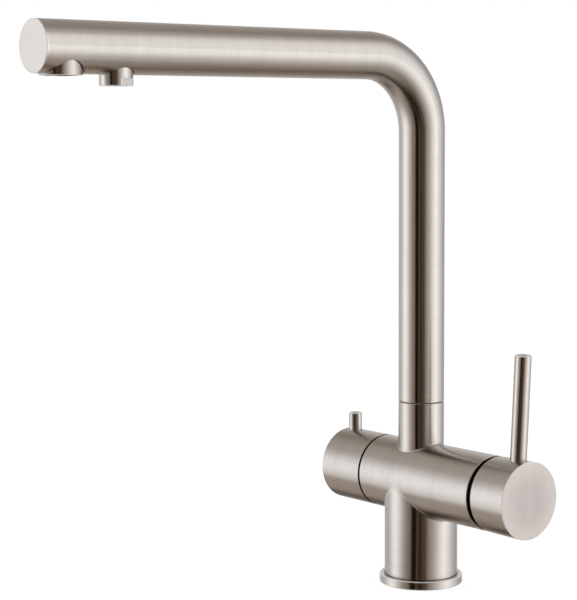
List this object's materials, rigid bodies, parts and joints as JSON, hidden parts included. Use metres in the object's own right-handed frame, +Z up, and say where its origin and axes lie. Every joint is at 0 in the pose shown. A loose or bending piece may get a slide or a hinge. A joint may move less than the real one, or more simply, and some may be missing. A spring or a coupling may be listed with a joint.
{
  "type": "kitchen mixer tap",
  "caption": "Three-way kitchen mixer tap: round foot, cross barrel with side lever and small filter knob, L-shaped swivel spout with two outlets, brushed steel.",
  "frame": {"origin": "centre of the foot's round opening, on the deck", "axes": "+Z up, the spout points along -Y, the mixer lever is at +X and the filter knob at -X"},
  "size_m": [0.1714, 0.3152, 0.3587],
  "materials": {
    "brushed_stainless": "brushed, satin",
    "plain_stainless": "turned",
    "brass": "turned",
    "black_rubber": "matte",
    "plastic": "moulded",
    "outlet_plastic": "moulded",
    "dark_plastic": "moulded",
    "feed_tube_plastic": "extruded",
    "white_ceramic": "lapped ceramic"
  },
  "bodies": {
    "tap_base": {"base_flange": "brushed_stainless", "base_seal": "black_rubber", "tap_body": "brushed_stainless", "swivel_bush": "plastic", "swivel_washer": "dark_plastic", "spout_retaining_screw": "plain_stainless", "cartridge_base": "plastic", "cartridge_base_seals": "black_rubber", "cartridge_housing": "plastic", "fixed_ceramic_disc": "white_ceramic", "cartridge_retaining_nut": "brass", "cartridge_dome": "dark_plastic", "filter_valve_body": "brass", "filter_valve_seal": "black_rubber", "filter_fixed_disc": "white_ceramic"},
    "spout": {"spout_tube": "brushed_stainless", "spout_end_cap": "brushed_stainless", "spout_insert": "brass", "spout_o_rings": "black_rubber", "filter_feed_tube": "feed_tube_plastic", "main_outlet_socket": "plain_stainless", "aerator_housing": "brushed_stainless", "aerator_insert": "outlet_plastic", "aerator_washer": "black_rubber", "filter_outlet_socket": "plain_stainless", "filter_outlet_nozzle": "brushed_stainless", "filter_outlet_insert": "outlet_plastic"},
    "cartridge_turn": {"cartridge_turning_collar": "plastic", "cartridge_pivot_pin": "plain_stainless"},
    "ceramic_slide": {"moving_ceramic_disc": "white_ceramic", "disc_carrier": "plastic"},
    "mixer_lever": {"cartridge_spindle": "brass", "mixer_handle_cap": "brushed_stainless", "mixer_lever_pin": "brushed_stainless", "mixer_handle_screw": "plain_stainless"},
    "filter_handle": {"filter_moving_disc": "white_ceramic", "filter_valve_spindle": "brass", "filter_spindle_o_rings": "black_rubber", "filter_knob": "brushed_stainless", "filter_knob_pin": "brushed_stainless", "filter_knob_screw": "plain_stainless"}
  },
  "joints": [
    {"name": "spout_swivel", "type": "hinge", "parent": "tap_base", "child": "spout", "pos_m": [0, 0, 0.1201], "axis": [0, 0, 1], "range_deg": [-110, 110]},
    {"name": "temperature_turn", "type": "hinge", "parent": "tap_base", "child": "cartridge_turn", "pos_m": [0.0505, 0, 0.069], "axis": [1, 0, 0], "range_deg": [-50, 50]},
    {"name": "flow_lift", "type": "hinge", "parent": "cartridge_turn", "child": "mixer_lever", "pos_m": [0.0505, 0, 0.069], "axis": [0, 1, 0], "range_deg": [0, 22]},
    {"name": "disc_slide", "type": "slide", "parent": "cartridge_turn", "child": "ceramic_slide", "axis": [0, 0, 1], "range_m": [0, 0.00558]},
    {"name": "filter_turn", "type": "hinge", "parent": "tap_base", "child": "filter_handle", "pos_m": [-0.05, 0, 0.069], "axis": [1, 0, 0], "range_deg": [0, 90]}
  ],
  "couplings": [
    {"joint": "disc_slide", "follows": "flow_lift", "m_per_rad": 0.0145}
  ]
}
